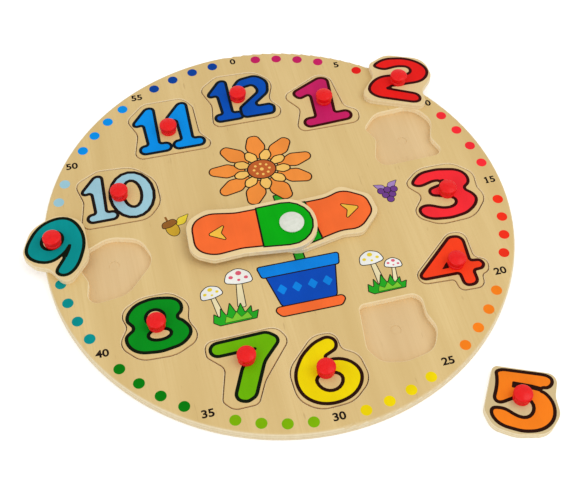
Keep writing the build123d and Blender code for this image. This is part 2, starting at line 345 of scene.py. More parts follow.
def plywood(name, face_tones, turn=0.0, edge_tones=SAWN_EDGE):
    """A plywood whose fibres run along Y, turned by an angle in degrees counter-clockwise."""
    wood, tree, shader = new_finish(name, WOOD_SPECULAR)
    place = own_place(tree)
    turned = tree.nodes.new("ShaderNodeMapping")
    turned.inputs["Rotation"].default_value = (0, 0, math.radians(-turn))
    tree.links.new(place, turned.inputs["Vector"])
    grain = tree.nodes.new("ShaderNodeGroup")
    grain.node_tree = grain_group
    grain.inputs["Light"].default_value, grain.inputs["Dark"].default_value = face_tones
    tree.links.new(turned.outputs["Vector"], grain.inputs["Vector"])
    edge = tree.nodes.new("ShaderNodeGroup")
    edge.node_tree = edge_group
    edge.name = "ply_edge"
    edge.inputs["Edge Light"].default_value, edge.inputs["Edge Dark"].default_value = edge_tones
    facing = tree.nodes.new("ShaderNodeNewGeometry")
    tree.links.new(place, edge.inputs["Vector"])
    tree.links.new(facing.outputs["Normal"], edge.inputs["Normal"])
    tree.links.new(grain.outputs["Color"], edge.inputs["Face"])
    tree.links.new(edge.outputs["Color"], shader.inputs["Base Color"])
    tree.links.new(spread(tree, grain.outputs["Height"], 0.3, 0.7, 0.42, 0.58), shader.inputs["Roughness"])
    add_relief(tree, shader, grain.outputs["Height"], WOOD_RELIEF)
    return wood


print("edges from", [round(tone, 2) for tone in WALL_EDGE_PAINTED_LIGHT[0][:3]], "to",
      [round(tone, 2) for tone in SEATED_EDGE_PAINTED_SHADE[1][:3]])

# %% [markdown]
# ## Board
# The board's face is one solid with two kinds of edge: the rim outside and the walls of the pockets
# inside. The walls get paler tones than the rim, which is painted light. Two materials would need its
# faces sorted, and a CAD solid stays as it is. The distance from the middle of the dial tells the edges
# apart instead, so one wood serves for both.

# %% Wood on the board
BOARD_RADIUS = 150.0
RIM_WIDTH = 3.0
RIM_BLEND = 0.5
DIAL_TONES = (srgb(227, 198, 138), srgb(214, 183, 121))
BACK_TONES = (srgb(230, 199, 149), srgb(218, 185, 134))


def tone_rim(wood, wall_painted_light_tones, rim_tones):
    """Gives the board's outer edge other tones than the walls of its pockets, which get painted light."""
    tree = wood.node_tree
    flat = tree.nodes.new("ShaderNodeVectorMath")
    flat.operation = "MULTIPLY"
    flat.inputs[1].default_value = (1, 1, 0)
    reach = tree.nodes.new("ShaderNodeVectorMath")
    reach.operation = "LENGTH"
    tree.links.new(own_place(tree), flat.inputs[0])
    tree.links.new(flat.outputs["Vector"], reach.inputs[0])
    rim_start = (BOARD_RADIUS - RIM_WIDTH) * MM
    outside = spread(tree, reach.outputs["Value"], rim_start, rim_start + RIM_BLEND * MM)
    edge_sockets = tree.nodes["ply_edge"].inputs
    for socket, wall_painted_light_tone, rim_tone in zip(("Edge Light", "Edge Dark"), wall_painted_light_tones, rim_tones):
        tree.links.new(blend_colours(tree, outside, wall_painted_light_tone, rim_tone), edge_sockets[socket])


def coat(node, material):
    """Gives a CAD solid one material in place of its plain one."""
    nodes[node].data.materials.clear()
    nodes[node].data.materials.append(material)


dial_wood = plywood("dial_plywood", DIAL_TONES)
# The pocket walls' paler tones are painted light.
tone_rim(dial_wood, WALL_EDGE_PAINTED_LIGHT, RIM_EDGE)
coat("face_board", dial_wood)
coat("back_board", plywood("back_plywood", BACK_TONES, edge_tones=RIM_EDGE))
print("woods", [wood.name for wood in bpy.data.materials if "plywood" in wood.name])

# %% [markdown]
# ## Inserts and hands
# Most inserts sit on a ring round the dial. Three lie loose, two on the board and one on the table. The
# frame knows their solids but not their drawings, so the place and turn of each insert is given here, for
# the print on it and for its fibres, which turn with the wood. The hands have their own turns.

# %% Insert places and their wood
NUMBER_RING = 108.0
BEARINGS = {1: 30, 2: 63.5, 3: 92.5, 4: 120.5, 5: 152, 6: 180, 7: 203, 8: 237, 9: 262.5, 10: 293.5,
            11: 328.5, 12: 359}
LOOSE = {2: (48.5, 143.1, -24.0), 5: (146.0, 189.8, -23.5), 9: (273.3, 137.6, 43.0)}
HOUR_HAND_TURN = 7
MINUTE_HAND_TURN = 177
PALE_TONES = (srgb(233, 206, 152), srgb(221, 193, 138))
GREY_TONES = (srgb(219, 195, 146), srgb(207, 184, 135))
HAND_TONES = (srgb(240, 214, 162), srgb(230, 203, 150))
LOOSE_TONES = {2: PALE_TONES, 5: GREY_TONES, 9: PALE_TONES}


def on_dial(bearing, radius):
    """A point in millimetres at a bearing clockwise from twelve o'clock."""
    angle = math.radians(bearing)
    return radius * math.sin(angle), radius * math.cos(angle)


def insert_place(number):
    """The matrix that carries a number's drawing, in metres, on to the top of its insert."""
    bearing, radius, turn = LOOSE.get(number, (BEARINGS[number], NUMBER_RING, 0.0))
    x, y = on_dial(bearing, radius)
    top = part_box(f"number_{number}")[1].z
    return Matrix.Translation((x * MM, y * MM, top)) @ Matrix.Rotation(math.radians(turn), 4, "Z")


for number in BEARINGS:
    name = f"insert_plywood_{number}"
    if number in LOOSE:
        wood = plywood(name, LOOSE_TONES[number], LOOSE[number][2])
    else:
        # The darker edges are painted shade in the slot round a seated insert.
        wood = plywood(name, DIAL_TONES, edge_tones=SEATED_EDGE_PAINTED_SHADE)
    coat(f"number_{number}", wood)
coat("hour_hand", plywood("hour_hand_plywood", HAND_TONES, HOUR_HAND_TURN))
coat("minute_hand", plywood("minute_hand_plywood", HAND_TONES, MINUTE_HAND_TURN - 180))
print("wood on", len(BEARINGS), "inserts and both hands")

# %% [markdown]
# ## Plastic and steel
# The knobs are glossy red plastic and the pivot button is white. A plain colour with an even gloss would
# look too clean. Moulded plastic is never quite smooth, so a weak noise ripples the colour and the gloss.
# The pins below the inserts and the ring behind the board are steel with drawn-out scratches.

# %% Knobs, button, pins and ring
PLASTIC_SPECULAR = 0.2
PLASTIC_RELIEF = 0.05
GLOSS_RANGE = 0.05
STEEL_SPECULAR = 0.5
RIPPLES = (420, 420, 420)
SCRATCHES = (2500, 200, 200)


def moulded_plastic(name, colour, shade, roughness):
    """A plastic that ripples between two near colours."""
    plastic, tree, shader = new_finish(name, PLASTIC_SPECULAR)
    ripple = stretched_noise(tree, own_place(tree), RIPPLES, detail=2)
    gloss = spread(tree, ripple, 0.3, 0.7, roughness - GLOSS_RANGE, roughness + GLOSS_RANGE)
    tree.links.new(blend_colours(tree, spread(tree, ripple, 0.35, 0.65), colour, shade),
                   shader.inputs["Base Color"])
    tree.links.new(gloss, shader.inputs["Roughness"])
    add_relief(tree, shader, ripple, PLASTIC_RELIEF)
    return plastic


def drawn_steel(name):
    """A grey steel with fine scratches."""
    steel, tree, shader = new_finish(name, STEEL_SPECULAR)
    shader.inputs["Metallic"].default_value = 1.0
    scratch = stretched_noise(tree, own_place(tree), SCRATCHES, detail=3)
    tree.links.new(blend_colours(tree, scratch, srgb(150, 150, 148), srgb(196, 196, 192)),
                   shader.inputs["Base Color"])
    tree.links.new(spread(tree, scratch, 0.3, 0.7, 0.28, 0.45), shader.inputs["Roughness"])
    return steel


knob_red = moulded_plastic("knob_red_plastic", srgb(240, 24, 24), srgb(232, 18, 20), 0.3)
button_white = moulded_plastic("button_white_plastic", srgb(226, 228, 216), srgb(217, 220, 207), 0.34)
pin_steel = drawn_steel("pin_steel")
for number in BEARINGS:
    coat(f"knob_{number}", knob_red)
    coat(f"knob_pin_{number}", pin_steel)
coat("pivot_button", button_white)
coat("pivot_clip", pin_steel)
print("plastic on", len(BEARINGS), "knobs and a button, steel below them")

# %% [markdown]
# ## Inks
# The prints are screen inks on bare wood. A flat colour would look like a sticker. The ink takes up the
# wood's fibres a little, so a group clouds and streaks its colour along the grain, and each ink is that
# group with one colour.

# %% Ink group
INK_FIBRES = (700, 30, 40)
INK_CLOUDS = (70, 50, 50)
INK_SPECULAR = 0.06
INK_DEPTH = 0.94

ink_group, ink_in, ink_out = new_group(
    "ink_on_wood",
    {"Vector": "Vector", "Ink": "Color", "Deep": "Color"},
    {"Color": "Color", "Height": "Float"},
)
ink_place = ink_in.outputs["Vector"]
ink_deep = ink_in.outputs["Deep"]
ink_fibre = stretched_noise(ink_group, ink_place, INK_FIBRES, detail=3)
ink_cloud = stretched_noise(ink_group, ink_place, INK_CLOUDS, detail=2)
clouded = blend_colours(ink_group, spread(ink_group, ink_cloud, 0.35, 0.7), ink_in.outputs["Ink"], ink_deep)
streaky = blend_colours(ink_group, spread(ink_group, ink_fibre, 0.45, 0.8, 0, 0.5), clouded, ink_deep)
ink_group.links.new(streaky, ink_out.inputs["Color"])
ink_group.links.new(ink_fibre, ink_out.inputs["Height"])


def ink(name, red, green, blue):
    """A printed ink that is a little darker along the fibres."""
    material, tree, shader = new_finish("ink_" + name, INK_SPECULAR)
    printed = tree.nodes.new("ShaderNodeGroup")
    printed.node_tree = ink_group
    printed.inputs["Ink"].default_value = srgb(red, green, blue)
    printed.inputs["Deep"].default_value = srgb(red * INK_DEPTH, green * INK_DEPTH, blue * INK_DEPTH)
    tree.links.new(own_place(tree), printed.inputs["Vector"])
    tree.links.new(printed.outputs["Color"], shader.inputs["Base Color"])
    tree.links.new(spread(tree, printed.outputs["Height"], 0.3, 0.7, 0.45, 0.6), shader.inputs["Roughness"])
    return material


print("group", ink_group.name, "with", len(ink_group.nodes), "nodes")

# %% [markdown]
# Each hour has its own ink, from magenta at one to deep blue at twelve. The heavy lines look black, but
# most of them lean towards the colour that they border. One black for all would look harder than the
# print, so there are four dark line inks besides it.

# %% Inks of the hours and lines
HOUR_INKS = {
    1: ink("magenta", 202, 30, 100),
    2: ink("red", 236, 28, 24),
    3: ink("coral", 254, 44, 54),
    4: ink("vermilion", 255, 66, 28),
    5: ink("orange", 254, 132, 26),
    6: ink("yellow", 246, 219, 0),
    7: ink("lime", 110, 186, 0),
    8: ink("green", 0, 144, 26),
    9: ink("teal", 0, 148, 148),
    10: ink("pale_blue", 160, 206, 220),
    11: ink("sky_blue", 0, 148, 240),
    12: ink("deep_blue", 0, 80, 186),
}
black = ink("black", 26, 14, 10)
line_maroon = ink("line_maroon", 58, 4, 2)
line_umber = ink("line_umber", 40, 10, 0)
line_bottle = ink("line_bottle", 6, 18, 2)
line_navy = ink("line_navy", 6, 20, 32)
LINE_INKS = {1: line_maroon, 2: line_maroon, 3: line_maroon, 4: line_maroon, 5: line_umber, 6: line_umber,
             7: line_bottle, 8: line_bottle, 9: line_bottle, 10: black, 11: line_navy, 12: line_navy}
print(sum(material.name.startswith("ink_") for material in bpy.data.materials), "inks mixed")

# %% [markdown]
# ## Drawing a print
# Each printed shape is a flat curve. A smooth outline could be traced with many points, but it would be
# hard to change afterwards. A drawing here is a list of a few corners, each with its own rounding, as on
# a sign maker's sketch, and the spline runs round each corner in one arc. Where two roundings don't fit
# on the side between them, they share it.

# %% Rounded loops
SHARPEST_ANGLE = 0.02
STRAIGHT_BEND = 0.01
STRAIGHT_PULL = 0.6
LEAST_LENGTH = 1e-9


def soft_loop(curve, corners):
    """Adds a closed spline through corners (x, y, rounding) in millimetres."""
    points = [Vector((x, y)) * MM for x, y, _ in corners]
    count = len(points)
    reaches = []
    for i, (_, _, rounding) in enumerate(corners):
        before, after = points[i - 1] - points[i], points[(i + 1) % count] - points[i]
        reaches.append(rounding * MM / math.tan(max(before.angle(after), SHARPEST_ANGLE) / 2))
    spline = curve.splines.new("BEZIER")
    spline.bezier_points.add(2 * count - 1)
    spline.use_cyclic_u = True
    for i, corner in enumerate(points):
        arms = []
        for other in (i - 1, (i + 1) % count):
            side = points[other] - corner
            share = min(1.0, side.length / max(reaches[i] + reaches[other], LEAST_LENGTH))
            arms.append(corner + side.normalized() * reaches[i] * share)
        bend = math.pi - (points[i - 1] - corner).angle(points[(i + 1) % count] - corner)
        pull = STRAIGHT_PULL
        if bend > STRAIGHT_BEND:
            pull = 4 / 3 * math.tan(bend / 4) / math.tan(bend / 2)
        for k, arm in enumerate(arms):
            knot = spline.bezier_points[2 * i + k]
            knot.handle_left_type = knot.handle_right_type = "FREE"
            knot.co = (*arm, 0)
            handle = (*(arm + (corner - arm) * pull), 0)
            knot.handle_left = handle if k == 1 else knot.co
            knot.handle_right = handle if k == 0 else knot.co


print(f"bends below {math.degrees(STRAIGHT_BEND):.1f} degrees count as straight")

# %% [markdown]
# Blender fills a closed flat curve by itself, and a loop inside another becomes a hole. The curve's
# offset draws the same shape a little smaller, so one drawing gives both the dark outline and the colour
# inside it. The sheets lie one above the other by about a hundredth of a millimetre, as layers of ink do.
# They become meshes, are joined into one print and ride with the wood that they are printed on.

# %% Ink sheets
INK_STEP = 0.012 * MM
ARC_STEPS = 5


def ink_sheet(name, loops, material, level, inset=0.0):
    """A thin filled sheet of ink, at a level above the wood and smaller than its drawing by inset."""
    curve = bpy.data.curves.new(name, "CURVE")
    curve.dimensions = "2D"
    curve.fill_mode = "BOTH"
    curve.resolution_u = ARC_STEPS
    curve.extrude = INK_STEP / 2
    curve.offset = -inset * MM
    for corners in loops:
        soft_loop(curve, corners)
    sheet = bpy.data.objects.new(name, curve)
    bpy.context.scene.collection.objects.link(sheet)
    bpy.ops.object.select_all(action="DESELECT")
    sheet.select_set(True)
    bpy.context.view_layer.objects.active = sheet
    bpy.ops.object.convert(target="MESH")
    sheet = bpy.context.object
    sheet.data.materials.clear()
    sheet.data.materials.append(material)
    sheet.location.z = level * INK_STEP
    return sheet


def outlined(name, loops, material, outline, level=0, line=black):
    """A shape in a line ink, and above it the same shape in colour, narrower by the outline."""
    under = ink_sheet(name, loops, line, 2 * level + 1)
    over = ink_sheet(name, loops, material, 2 * level + 2, outline)
    return [under, over]


def press(name, sheets, place, body):
    """Joins sheets into one print, carries it to its place and lets it ride on a body."""
    bpy.ops.object.select_all(action="DESELECT")
    for sheet in sheets:
        sheet.select_set(True)
    bpy.context.view_layer.objects.active = sheets[0]
    if len(sheets) > 1:
        bpy.ops.object.join()
    print_piece = bpy.context.object
    print_piece.name = name
    bpy.ops.object.transform_apply(location=True, rotation=True, scale=True)
    print_piece.matrix_world = place
    bpy.ops.object.transform_apply(location=True, rotation=True, scale=True)
    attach(print_piece, body)


print(f"ink lies in steps of {INK_STEP / MM:.3f} mm")

# %% [markdown]
# A shape that comes back, such as a petal or a figure one, is drawn once and then moved, scaled or
# turned. An oval is a box whose corners are rounded as far as they go.

# %% Moved drawings and ovals
FULLY_ROUND = 999


def shifted(corners, dx, dy, scale=1.0, turn=0.0, widen=1.0):
    """A drawing moved, scaled, turned in degrees and widened along x before the turn."""
    cosine, sine = math.cos(math.radians(turn)), math.sin(math.radians(turn))
    moved = []
    for x, y, rounding in corners:
        x, y = x * scale * widen, y * scale
        moved.append((x * cosine - y * sine + dx, x * sine + y * cosine + dy, rounding * scale))
    return moved


def oval(x, y, half_width, half_height):
    """An oval round a point."""
    return [(x - half_width, y + half_height, FULLY_ROUND), (x + half_width, y + half_height, FULLY_ROUND),
            (x + half_width, y - half_height, FULLY_ROUND), (x - half_width, y - half_height, FULLY_ROUND)]


print("an oval has", len(oval(0, 0, 1, 1)), "corners")

# %% [markdown]
# ## Numbers on the inserts
# The numbers are fat and round, with a heavy dark outline that nearly fills each insert. A font has no
# such figures, so they are drawn. The drawings give the outside of the outline in millimetres from the
# insert's middle. Ten, eleven and twelve share one slim figure one. Numbers with a bowl are softer than
# the others, by one factor on all their roundings.

# %% Number drawings
NUMBER_OUTLINE = 2.15
BOWL_SOFTNESS = 1.6
BOWLED = (2, 3, 5, 6, 8, 9)
SLIM_ONE = [(-23.8, 9, 4.5), (-11.5, 23.2, 5.5), (-5.6, 20.5, 4), (-6.6, -11, 1), (0.8, -11, 4.7),
            (0.4, -20.2, 4.7), (-22.4, -20.2, 4.7), (-22.4, -11, 4.7), (-16.4, -11, 1),
            (-16.8, 5.6, 1), (-22, 4.6, 4)]
NUMBER_FIGURES = {
    1: [[[(-22.3, 11.3, 4.5), (2.6, 22.9, 7), (8.7, 19.1, 5), (5.6, -11.8, 1), (16.6, -11.5, 5),
          (15.8, -21.6, 5), (-18.8, -23.2, 5), (-19.3, -13.2, 5), (-10.2, -13, 1), (-9, 6.2, 1),
          (-16.5, 3.4, 4)]]],
    2: [[[(-19, 13.9, 5), (-11.5, 21.4, 10), (5, 25.4, 16), (18.9, 20, 10), (22.6, 10.4, 9),
          (17, 2.2, 10), (-4.8, -6.8, 0.4), (14, -7.6, 8), (20.6, -10.1, 5), (17.6, -18, 5),
          (-16.5, -18, 8), (-20, -7.7, 9), (-13.5, 3.2, 10), (7.5, 10, 2.2), (7.2, 15.2, 2.4),
          (-1, 13.9, 8), (-9.5, 9, 5), (-17.3, 9.4, 5)]]],
    3: [[[(-17.3, 14.8, 5.5), (-9.5, 21.4, 9), (3, 22, 14), (17, 19, 9), (23.4, 11, 7), (20.2, 4, 5),
          (16, 1.8, 1), (22, -3.5, 8), (21.5, -12.5, 9), (11, -18.8, 10), (0, -20.3, 14),
          (-14, -18.6, 10), (-21.4, -11, 5), (-17, -5.4, 5), (-11, -5.2, 7), (-2, -9.8, 8),
          (6.5, -9.8, 3), (6, -4.5, 2.5), (-6, -0.5, 5), (-10.5, 2.5, 4), (-6.5, 7.2, 4),
          (4.5, 9.8, 0.6), (-2, 11.2, 6), (-10.5, 8.8, 8), (-17, 9.5, 5)]]],
    4: [[[(-20.2, -6.8, 4.5), (7.3, 17.6, 6), (17.3, 16.8, 6), (16, -2.5, 1), (21.8, -3.3, 4),
          (24, -8, 3.5), (21, -11.6, 4), (15.8, -11.7, 1), (15.8, -21.8, 5), (4.8, -21.8, 4.5),
          (4.6, -11.9, 1), (-18.8, -11.6, 4.5)]]],
    5: [[[(-19, 20, 3.5), (14, 20.8, 6), (18.2, 15.3, 5), (13.5, 10.1, 5), (4.5, 10.4, 0.6),
          (12.9, 8.9, 10), (19.3, 0.7, 12), (18.2, -10.5, 10), (10.5, -17.8, 12), (0, -19.8, 14),
          (-13, -18, 10), (-22.4, -9.8, 5), (-17, -5, 5), (-10.5, -5, 7), (-2.5, -9, 8), (4.8, -8.6, 4),
          (4.4, 2.6, 4), (-3.5, 2, 5), (-13.5, -4.2, 4), (-18.8, -2, 3.5), (-16.5, 10, 30)]]],
    6: [[[(-19.6, -2, 14), (-12.2, 9.2, 16), (-3, 16.4, 14), (7.6, 19.2, 4), (12, 14, 3.5),
          (10.8, 7.9, 3.5), (-0.9, 2.9, 0.5), (11.5, 3.8, 11), (20.5, -5, 10), (21, -14, 10),
          (14, -24, 12), (0, -27.3, 16), (-12, -24.3, 14), (-19.6, -15, 12)],
         [(-6.3, -7, 2.5), (7.8, -7, 3.5), (6.5, -16.5, 6), (-5, -16.5, 6)]]],
    7: [[[(-21.8, 20.7, 6), (15, 21.7, 8), (23.3, 14.5, 5), (10, 1, 16), (0, -20.3, 7), (-6, -22.8, 5),
          (-15, -20, 5.5), (-5.2, 1.5, 14), (4.5, 10, 1), (-21.5, 9.6, 5.7)]]],
    8: [[[(-18.3, 10.5, 8), (-9.5, 17.8, 10), (1, 20, 14), (14.6, 17.3, 8), (19.4, 10.8, 7), (17, 5, 5),
          (13.6, 2.5, 0.8), (16.6, 0.8, 4), (18.1, -1.4, 5), (23, -8.7, 5), (14, -17.6, 9),
          (0, -19.8, 16), (-14, -17.8, 9), (-20.8, -9.5, 8), (-19, -3.3, 4), (-13.6, 0.4, 1.2),
          (-16.9, 4.9, 4)],
         oval(0.4, 5.2, 4.6, 4.4), oval(1.2, -6.9, 5.8, 2.7)]],
    9: [[[(-21.7, 8.5, 12), (-15.2, 18.3, 12), (1.4, 23, 16), (16.7, 18.2, 14), (21.4, 5, 14),
          (11.9, -10.7, 18), (-7.6, -19.8, 14), (-19.7, -16, 6), (-17.2, -8.1, 4), (-2.6, -5.2, 0.35),
          (-13.1, -4.7, 10)],
         oval(-0.3, 7.8, 6, 5)]],
    10: [[shifted(SLIM_ONE, -0.5, -0.9, 0.92)],
         [oval(10.4, -1.4, 15.3, 19.7), oval(10.7, -0.8, 4.8, 9.8)]],
    11: [[shifted(SLIM_ONE, 0.4, 0)], [shifted(SLIM_ONE, 23.1, 0)]],
    12: [[shifted(SLIM_ONE, -0.9, -0.4, 0.93)],
         [[(-4.5, 11.5, 4), (1.5, 18.5, 8), (15.2, 20.5, 9), (22.7, 12.3, 9), (20.5, 1, 8), (8.8, -8.2, 1),
           (18.5, -8.2, 3), (22.3, -11, 4), (21, -19.2, 4.5), (-3.8, -18.9, 5), (-3.2, -8, 5),
           (12.3, 4.3, 3), (10.5, 10, 2.5), (3, 8.5, 3), (-1, 4, 4)]]],
}
print("figures drawn", sum(len(figures) for figures in NUMBER_FIGURES.values()))

# %% [markdown]
# Where two strokes meet in a narrow corner, the outline closes up to solid black. The curve's offset
# alone leaves some colour there, so a small dark shape of its own is laid over it. Each number is then
# pressed on the top of its insert.

# %% Numbers printed
CLOSED_CORNERS = {
    2: [(-2.8, -4.7, 0.3), (-5.4, -5.9, 1), (-6.8, -7.5, 0.8), (-5.4, -8.9, 0.8), (-2.8, -9, 0.3)],
    3: [(1, 9, 0.3), (1.5, 12, 0.5), (5.2, 12.2, 0.8), (5, 10.8, 0.8)],
    4: [(-4.4, -5.9, 0.3), (0.5, -5.9, 0.3), (0.3, -1, 0.3)],
    5: [(-7.4, 12.3, 0.8), (4, 12, 0.5), (9.6, 11.3, 0.4), (9.6, 8.1, 0.4), (4, 8.8, 0.5),
        (-7.6, 8, 0.8)],
    7: [(3, 9.4, 0.3), (5, 12.4, 0.6), (6.8, 11.2, 0.8), (4.6, 8.8, 0.3)],
    9: [(-5.2, -3.2, 0.4), (-1.4, -3.3, 3), (3.4, -2.4, 0.7), (4.4, -3.9, 0.7), (1.5, -5.7, 3),
        (-2.5, -7.2, 3), (-5, -8, 0.4)],
}

for number, figures in NUMBER_FIGURES.items():
    softness = BOWL_SOFTNESS if number in BOWLED else 1.0
    sheets = []
    for level, loops in enumerate(figures):
        loops = [[(x, y, rounding * softness) for x, y, rounding in loop] for loop in loops]
        sheets += outlined("figure", loops, HOUR_INKS[number], NUMBER_OUTLINE, level, LINE_INKS[number])
    if number in CLOSED_CORNERS:
        corner = [CLOSED_CORNERS[number]]
        sheets.append(ink_sheet("corner", corner, LINE_INKS[number], 2 * len(figures) + 1))
    press(f"number_print_{number}", sheets, insert_place(number), f"number_{number}")
print("numbers printed:", sorted(NUMBER_FIGURES))

# %% [markdown]
# ## Minute track
# Round the rim, a dot stands for each minute and a small numeral for every fifth one. The dots take the
# colour of the hour that they lead to, and four of the groups are printed in a slightly other mix of it.
# A regular ring would be easy, but these dots were set by eye. So each group of four starts and ends up
# to about a degree off its true place, and in one group the two middle dots stand further on.

# %% Minute dots
TRACK_RADIUS = 143.0
DOT_RADIUS = 3.45
DOTS = (1, 2, 3, 4)
HOUR_ANGLE = 30
MINUTE_ANGLE = 6
GROUP_SHIFTS = {1: (0.6, 0.6), 2: (0.0, -0.6), 3: (-1.2, 0.0), 4: (0.7, -0.2), 5: (-0.5, -0.4),
                6: (-0.1, -0.3), 7: (0.1, -0.1), 8: (0.1, 0.4), 9: (-0.5, -0.9), 10: (0.6, 0.75),
                11: (0.7, 0.4), 12: (-0.3, 0.0)}
MIDDLE_SHIFTS = {2: 1.0}
DOT_INKS = {4: ink("dot_vermilion", 250, 48, 24), 7: ink("dot_lime", 126, 182, 0),
            8: ink("dot_green", 0, 124, 8), 12: ink("dot_blue", 2, 66, 160)}

track = []
for hour, hour_ink in HOUR_INKS.items():
    first, last = GROUP_SHIFTS[hour]
    dots = []
    for step in DOTS:
        bearing = HOUR_ANGLE * (hour - 1) + MINUTE_ANGLE * step + first + (last - first) * (step - 1) / 3
        if step in DOTS[1:-1]:
            bearing += MIDDLE_SHIFTS.get(hour, 0.0)
        dots.append(oval(*on_dial(bearing, TRACK_RADIUS), DOT_RADIUS, DOT_RADIUS))
    track.append(ink_sheet("minute_dots", dots, DOT_INKS.get(hour, hour_ink), level=1))
print(len(DOTS) * len(track), "dots in", len(track), "groups")

# %% [markdown]
# A numeral stands midway between its two groups of dots. Drawing twelve small numerals would be slow, so
# each is a text object, a little widened and fattened, which becomes a mesh before it is moved. The
# built-in font's figure one is plainer than the printed one, so in ten and fifteen it gets a flag and a
# foot, drawn from the numeral's top and bottom left corners.

# %% Minute numerals
MINUTE_SIZE = 6.9
MINUTE_WIDEN = 1.15
MINUTE_WEIGHT = 0.2
MINUTE_SHIFT = (-0.6, 0.6)
WITH_A_ONE = (10, 15)
ONE_FLAG = [(-0.7, -1.4, 0.2), (-0.7, -0.5, 0.2), (0.5, 0, 0.1), (0.5, -1.1, 0.1)]
ONE_FOOT = [(-0.6, 0.9, 0.2), (1.5, 0.9, 0.2), (1.5, 0, 0.2), (-0.6, 0, 0.2)]


def minute_numeral(minute, x, y):
    """A numeral as a thin mesh round a point in millimetres."""
    bpy.ops.object.select_all(action="DESELECT")
    bpy.ops.object.text_add()
    text = bpy.context.object.data
    text.body = str(minute)
    text.align_x = "CENTER"
    text.align_y = "CENTER"
    text.size = MINUTE_SIZE * MM
    text.offset = MINUTE_WEIGHT * MM
    text.extrude = INK_STEP / 2
    bpy.ops.object.convert(target="MESH")
    numeral = bpy.context.object
    numeral.data.materials.append(black)
    numeral.scale.x = MINUTE_WIDEN
    numeral.location = ((x + MINUTE_SHIFT[0]) * MM, (y + MINUTE_SHIFT[1]) * MM, INK_STEP)
    bpy.ops.object.transform_apply(location=True, scale=True)
    return numeral


for hour in HOUR_INKS:
    minute = 5 * (hour - 1)
    before, after = GROUP_SHIFTS[hour - 1 or 12][1], GROUP_SHIFTS[hour][0]
    bearing = MINUTE_ANGLE * minute + (before + after) / 2
    numeral = minute_numeral(minute, *on_dial(bearing, TRACK_RADIUS))
    track.append(numeral)
    if minute in WITH_A_ONE:
        across = [corner.co.x / MM for corner in numeral.data.vertices]
        upward = [corner.co.y / MM for corner in numeral.data.vertices]
        flag = shifted(ONE_FLAG, min(across), max(upward))
        foot = shifted(ONE_FOOT, min(across), min(upward))
        track.append(ink_sheet("numeral_serifs", [flag, foot], black, level=1))
dial_place = Matrix.Translation((0, 0, board_top))
press("minute_track", track, dial_place, "board")
print("track of", len(track), "sheets")

# %% [markdown]
# ## Hands
# Both hands carry a green hub and an orange paddle with a small arrow, inside a border of bare wood. They
# are the same on both sides of their length, so only the upper half is drawn, along x from the pivot, and
# mirrored. Then the print is turned to where its hand rests.

# %% Hand prints
PIVOT = (5.0, -10.0)
HAND_OUTLINE = 1.1
ARROW_OUTLINE = 0.6
hub_green = ink("hub_green", 2, 174, 14)
paddle_orange = ink("paddle_orange", 255, 112, 50)
arrow_yellow = ink("arrow_yellow", 252, 196, 70)


def mirrored(half):
    """A closed drawing from its upper half, drawn from left to right."""
    return half + [(x, -y, rounding) for x, y, rounding in reversed(half)]


def print_hand(name, turn, hub_half, paddle_half, arrow):
    """Prints paddle, hub and arrow on a hand that rests at a turn in degrees."""
    sheets = outlined("paddle", [mirrored(paddle_half)], paddle_orange, HAND_OUTLINE, line=line_maroon)
    sheets += outlined("hub", [mirrored(hub_half)], hub_green, HAND_OUTLINE, 1)
    sheets += outlined("arrow", [arrow], arrow_yellow, ARROW_OUTLINE, 1)
    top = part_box(name)[1].z
    place = Matrix.Translation((PIVOT[0] * MM, PIVOT[1] * MM, top))
    place = place @ Matrix.Rotation(math.radians(turn), 4, "Z")
    press(name + "_print", sheets, place, name)


print_hand("minute_hand", MINUTE_HAND_TURN, [(-14, 18.4, 16.8), (21, 15.6, 0.5)],
           [(20, 15, 0.5), (34, 14.2, 30), (51, 16.6, 17), (63, 11.4, 11)],
           [(41, 7, 1), (54.5, 0, 1.5), (41, -7, 1), (44.5, 0, 1)])
print_hand("hour_hand", HOUR_HAND_TURN, [(-14, 18.4, 16.8), (15.5, 15.9, 0.5)],
           [(14.5, 15.6, 0.5), (29.5, 14, 30), (40.8, 17.2, 13), (54, 6.2, 9)],
           [(34, 7.5, 1), (47.5, 0, 1.5), (34, -7.5, 1), (37.8, 0, 1)])
print("hands printed")

# %% [markdown]
# ## Picture in the middle
# The middle of the dial has a cheerful plant in a pot. It is drawn with the same helpers, in thinner
# outlines, and shapes that overlap go on a higher level. A petal is drawn once and turned round the
# middle of the bloom, and the whole bloom is a little wider than it is high. The seeds on its disc stand
# about an eighth of a turn apart, in radians.

# %% Bloom
PICTURE_OUTLINE = 0.85
BLOOM = (-2.0, 43.0)
BLOOM_WIDEN = 1.2
PETALS = 9
SEEDS = 8
SEED_ANGLE = 0.785
SEED_RING = (5.2, 4.4)
SEED_RADIUS = 0.9
MIDDLE_SEED_RADIUS = 1.3
DISC_REACH = (10, 8.4)
petal_orange = ink("petal_orange", 250, 148, 62)
petal_yellow = ink("petal_yellow", 252, 200, 104)
disc_brown = ink("disc_brown", 196, 98, 44)
leaf_green = ink("leaf_green", 40, 168, 40)
STEM = [(-0.5, 20, 1), (6, 20, 1), (8.5, -34, 1), (1.5, -34, 1)]
OUTER_PETAL = [(-1.8, 9, 1.5), (-6.2, 19, 6), (-3, 29.5, 4), (3, 29.5, 4), (6.2, 19, 6), (1.8, 9, 1.5)]
INNER_PETAL = [(-1.5, 6, 1), (-4, 12, 4), (0, 20.5, 3), (4, 12, 4), (1.5, 6, 1)]


def ring_of_petals(petal, first_turn):
    """One petal turned round the middle of the bloom."""
    loops = []
    for k in range(PETALS):
        turned = shifted(petal, 0, 0, 1.0, first_turn + 360 / PETALS * k)
        loops.append(shifted(turned, *BLOOM, widen=BLOOM_WIDEN))
    return loops


